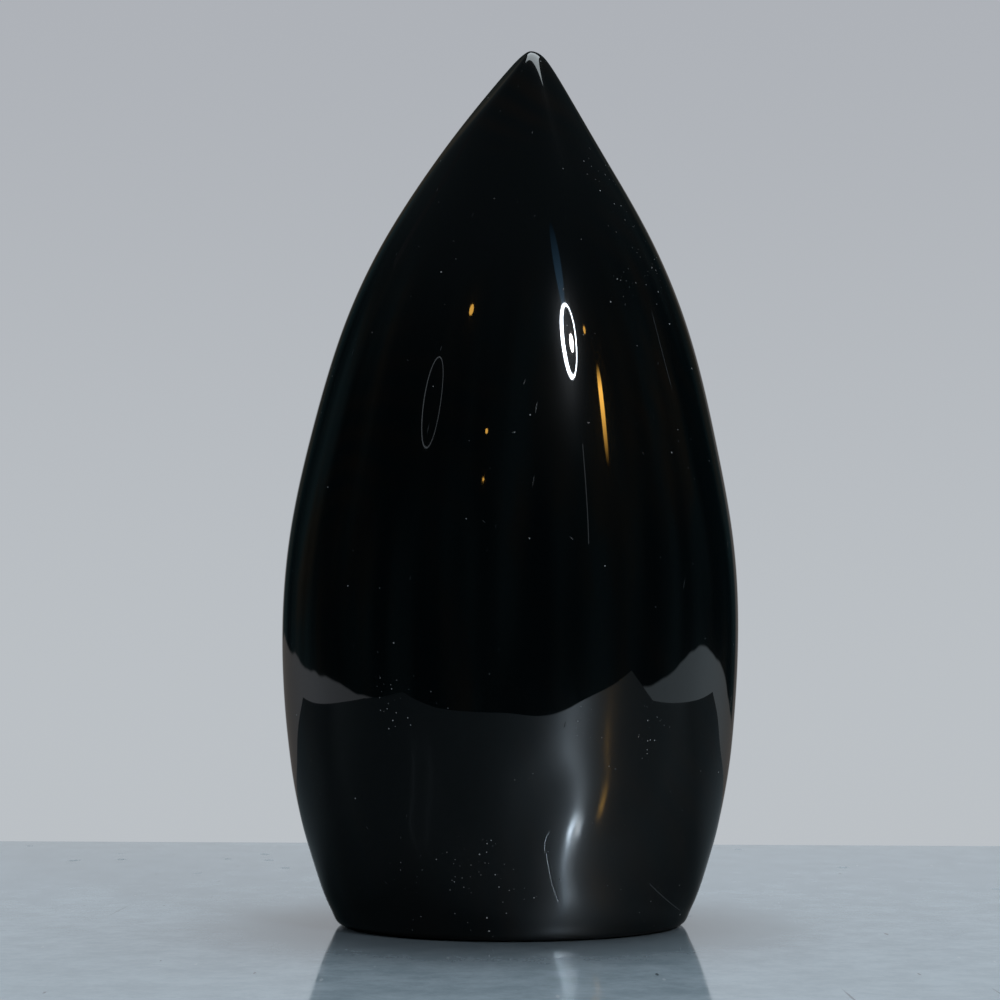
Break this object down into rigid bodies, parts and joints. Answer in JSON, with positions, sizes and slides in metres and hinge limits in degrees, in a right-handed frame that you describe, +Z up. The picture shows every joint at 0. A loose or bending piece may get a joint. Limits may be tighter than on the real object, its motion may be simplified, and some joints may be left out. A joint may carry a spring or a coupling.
{
  "type": "polished obsidian flame",
  "caption": "Free-standing pointed teardrop of black volcanic glass, polished all over, with a flat foot; a display stone.",
  "frame": {"origin": "on the surface the stone stands on, under the middle of its bounding box; the middle of the foot is 2 mm behind it", "axes": "+Z up the stone to its tip, -Y the front as seen in use, towards which it bows, +X the stone's right, towards which it leans a little"},
  "size_m": [0.0628, 0.0562, 0.1199],
  "materials": {
    "obsidian": "polished"
  },
  "bodies": {
    "root": {"obsidian_flame": "obsidian"}
  },
  "joints": []
}
